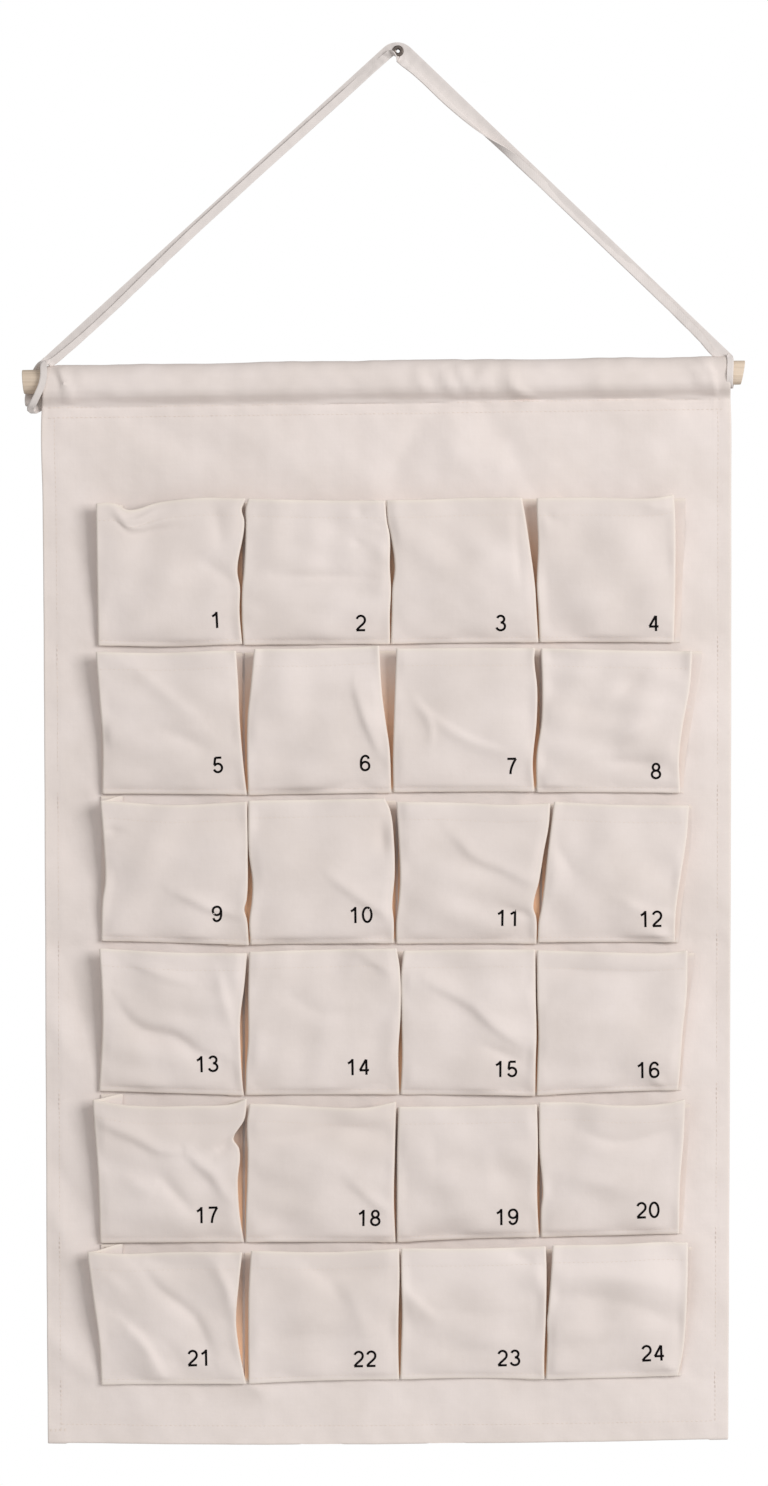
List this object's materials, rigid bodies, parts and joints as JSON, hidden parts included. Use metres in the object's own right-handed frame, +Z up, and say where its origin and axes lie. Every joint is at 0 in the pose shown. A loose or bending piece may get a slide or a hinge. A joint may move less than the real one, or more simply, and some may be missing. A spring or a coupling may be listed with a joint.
{
  "type": "hanging pocket calendar",
  "caption": "Canvas wall hanging with rows of numbered bellows pockets, a wooden dowel in a sewn tunnel, and a cotton strap with an eyelet to hang it by.",
  "frame": {"origin": "the middle of the eyelet at the top of the strap, where the nail goes through", "axes": "+Z up, +X to the viewer's right along the dowel, -Y towards the viewer (the front of the pockets)"},
  "size_m": [0.5272, 0.0283, 1.0234],
  "materials": {
    "backing_canvas": "plain-weave cotton canvas, unbleached, soft creases",
    "pocket_canvas": "plain-weave cotton canvas, unbleached, hemmed mouth",
    "strap_tape": "woven cotton tape, folded lengthwise",
    "dowel_wood": "bare pale wood, smooth",
    "eyelet_metal": "dark oxidised metal"
  },
  "bodies": {
    "strap": {"hanging_strap": "strap_tape", "hanging_eyelet": "eyelet_metal"},
    "dowel": {"dowel": "dowel_wood"},
    "panel": {"backing_panel": "backing_canvas", "rod_tunnel_left": "backing_canvas", "rod_tunnel_right": "backing_canvas"},
    "pocket_01": {"pocket_01": "pocket_canvas"},
    "pocket_02": {"pocket_02": "pocket_canvas"},
    "pocket_03": {"pocket_03": "pocket_canvas"},
    "pocket_04": {"pocket_04": "pocket_canvas"},
    "pocket_05": {"pocket_05": "pocket_canvas"},
    "pocket_06": {"pocket_06": "pocket_canvas"},
    "pocket_07": {"pocket_07": "pocket_canvas"},
    "pocket_08": {"pocket_08": "pocket_canvas"},
    "pocket_09": {"pocket_09": "pocket_canvas"},
    "pocket_10": {"pocket_10": "pocket_canvas"},
    "pocket_11": {"pocket_11": "pocket_canvas"},
    "pocket_12": {"pocket_12": "pocket_canvas"},
    "pocket_13": {"pocket_13": "pocket_canvas"},
    "pocket_14": {"pocket_14": "pocket_canvas"},
    "pocket_15": {"pocket_15": "pocket_canvas"},
    "pocket_16": {"pocket_16": "pocket_canvas"},
    "pocket_17": {"pocket_17": "pocket_canvas"},
    "pocket_18": {"pocket_18": "pocket_canvas"},
    "pocket_19": {"pocket_19": "pocket_canvas"},
    "pocket_20": {"pocket_20": "pocket_canvas"},
    "pocket_21": {"pocket_21": "pocket_canvas"},
    "pocket_22": {"pocket_22": "pocket_canvas"},
    "pocket_23": {"pocket_23": "pocket_canvas"},
    "pocket_24": {"pocket_24": "pocket_canvas"}
  },
  "joints": [
    {"name": "panel_swing", "type": "hinge", "parent": "strap", "child": "panel", "pos_m": [-0.0104, 0, -0.2376], "axis": [-0.9999, 0, -0.0131], "range_deg": [0, 90]},
    {"name": "dowel_slide", "type": "slide", "parent": "strap", "child": "dowel", "axis": [0.9999, 0, 0.0131], "range_m": [-0.006, 0.01]},
    {"name": "pocket_01_open", "type": "hinge", "parent": "panel", "child": "pocket_01", "pos_m": [-0.1659, -0.00146, -0.43434], "axis": [0.9999, 0, 0.0131], "range_deg": [0, 6], "stiffness_Nm_per_rad": 0.05, "springref_deg": -1.15},
    {"name": "pocket_02_open", "type": "hinge", "parent": "panel", "child": "pocket_02", "pos_m": [-0.05665, -0.00113, -0.4329], "axis": [0.9999, 0, 0.0131], "range_deg": [0, 6], "stiffness_Nm_per_rad": 0.05, "springref_deg": -1.15},
    {"name": "pocket_03_open", "type": "hinge", "parent": "panel", "child": "pocket_03", "pos_m": [0.0516, -0.00091, -0.43149], "axis": [0.9999, 0, 0.0131], "range_deg": [0, 6], "stiffness_Nm_per_rad": 0.05, "springref_deg": -1.15},
    {"name": "pocket_04_open", "type": "hinge", "parent": "panel", "child": "pocket_04", "pos_m": [0.15635, -0.00153, -0.43012], "axis": [0.9999, 0, 0.0131], "range_deg": [0, 6], "stiffness_Nm_per_rad": 0.05, "springref_deg": -1.15},
    {"name": "pocket_05_open", "type": "hinge", "parent": "panel", "child": "pocket_05", "pos_m": [-0.1659, -0.00163, -0.54324], "axis": [0.9999, 0, 0.0131], "range_deg": [0, 6], "stiffness_Nm_per_rad": 0.05, "springref_deg": -1.15},
    {"name": "pocket_06_open", "type": "hinge", "parent": "panel", "child": "pocket_06", "pos_m": [-0.05665, -0.00115, -0.5418], "axis": [0.9999, 0, 0.0131], "range_deg": [0, 6], "stiffness_Nm_per_rad": 0.05, "springref_deg": -1.15},
    {"name": "pocket_07_open", "type": "hinge", "parent": "panel", "child": "pocket_07", "pos_m": [0.0516, -0.00061, -0.54039], "axis": [0.9999, 0, 0.0131], "range_deg": [0, 6], "stiffness_Nm_per_rad": 0.05, "springref_deg": -1.15},
    {"name": "pocket_08_open", "type": "hinge", "parent": "panel", "child": "pocket_08", "pos_m": [0.15635, -0.00174, -0.53902], "axis": [0.9999, 0, 0.0131], "range_deg": [0, 6], "stiffness_Nm_per_rad": 0.05, "springref_deg": -1.15},
    {"name": "pocket_09_open", "type": "hinge", "parent": "panel", "child": "pocket_09", "pos_m": [-0.1659, -0.0018, -0.65014], "axis": [0.9999, 0, 0.0131], "range_deg": [0, 6], "stiffness_Nm_per_rad": 0.05, "springref_deg": -1.15},
    {"name": "pocket_10_open", "type": "hinge", "parent": "panel", "child": "pocket_10", "pos_m": [-0.05665, -0.00117, -0.6487], "axis": [0.9999, 0, 0.0131], "range_deg": [0, 6], "stiffness_Nm_per_rad": 0.05, "springref_deg": -1.15},
    {"name": "pocket_11_open", "type": "hinge", "parent": "panel", "child": "pocket_11", "pos_m": [0.0516, -0.0004, -0.64729], "axis": [0.9999, 0, 0.0131], "range_deg": [0, 6], "stiffness_Nm_per_rad": 0.05, "springref_deg": -1.15},
    {"name": "pocket_12_open", "type": "hinge", "parent": "panel", "child": "pocket_12", "pos_m": [0.15635, -0.00194, -0.64592], "axis": [0.9999, 0, 0.0131], "range_deg": [0, 6], "stiffness_Nm_per_rad": 0.05, "springref_deg": -1.15},
    {"name": "pocket_13_open", "type": "hinge", "parent": "panel", "child": "pocket_13", "pos_m": [-0.1659, -0.00198, -0.76054], "axis": [0.9999, 0, 0.0131], "range_deg": [0, 6], "stiffness_Nm_per_rad": 0.05, "springref_deg": -1.15},
    {"name": "pocket_14_open", "type": "hinge", "parent": "panel", "child": "pocket_14", "pos_m": [-0.05665, -0.00119, -0.75911], "axis": [0.9999, 0, 0.0131], "range_deg": [0, 6], "stiffness_Nm_per_rad": 0.05, "springref_deg": -1.15},
    {"name": "pocket_15_open", "type": "hinge", "parent": "panel", "child": "pocket_15", "pos_m": [0.0516, -0.00019, -0.75769], "axis": [0.9999, 0, 0.0131], "range_deg": [0, 6], "stiffness_Nm_per_rad": 0.05, "springref_deg": -1.15},
    {"name": "pocket_16_open", "type": "hinge", "parent": "panel", "child": "pocket_16", "pos_m": [0.15635, -0.00215, -0.75632], "axis": [0.9999, 0, 0.0131], "range_deg": [0, 6], "stiffness_Nm_per_rad": 0.05, "springref_deg": -1.15},
    {"name": "pocket_17_open", "type": "hinge", "parent": "panel", "child": "pocket_17", "pos_m": [-0.1659, -0.00214, -0.86544], "axis": [0.9999, 0, 0.0131], "range_deg": [0, 6], "stiffness_Nm_per_rad": 0.05, "springref_deg": -1.15},
    {"name": "pocket_18_open", "type": "hinge", "parent": "panel", "child": "pocket_18", "pos_m": [-0.05665, -0.00121, -0.86401], "axis": [0.9999, 0, 0.0131], "range_deg": [0, 6], "stiffness_Nm_per_rad": 0.05, "springref_deg": -1.15},
    {"name": "pocket_19_open", "type": "hinge", "parent": "panel", "child": "pocket_19", "pos_m": [0.0516, 0, -0.86259], "axis": [0.9999, 0, 0.0131], "range_deg": [0, 6], "stiffness_Nm_per_rad": 0.05, "springref_deg": -1.15},
    {"name": "pocket_20_open", "type": "hinge", "parent": "panel", "child": "pocket_20", "pos_m": [0.15635, -0.00235, -0.86122], "axis": [0.9999, 0, 0.0131], "range_deg": [0, 6], "stiffness_Nm_per_rad": 0.05, "springref_deg": -1.15},
    {"name": "pocket_21_open", "type": "hinge", "parent": "panel", "child": "pocket_21", "pos_m": [-0.1659, -0.00231, -0.97034], "axis": [0.9999, 0, 0.0131], "range_deg": [0, 6], "stiffness_Nm_per_rad": 0.05, "springref_deg": -1.15},
    {"name": "pocket_22_open", "type": "hinge", "parent": "panel", "child": "pocket_22", "pos_m": [-0.05665, -0.00123, -0.96891], "axis": [0.9999, 0, 0.0131], "range_deg": [0, 6], "stiffness_Nm_per_rad": 0.05, "springref_deg": -1.15},
    {"name": "pocket_23_open", "type": "hinge", "parent": "panel", "child": "pocket_23", "pos_m": [0.0516, 0.00019, -0.96749], "axis": [0.9999, 0, 0.0131], "range_deg": [0, 6], "stiffness_Nm_per_rad": 0.05, "springref_deg": -1.15},
    {"name": "pocket_24_open", "type": "hinge", "parent": "panel", "child": "pocket_24", "pos_m": [0.15635, -0.00254, -0.96612], "axis": [0.9999, 0, 0.0131], "range_deg": [0, 6], "stiffness_Nm_per_rad": 0.05, "springref_deg": -1.15}
  ]
}
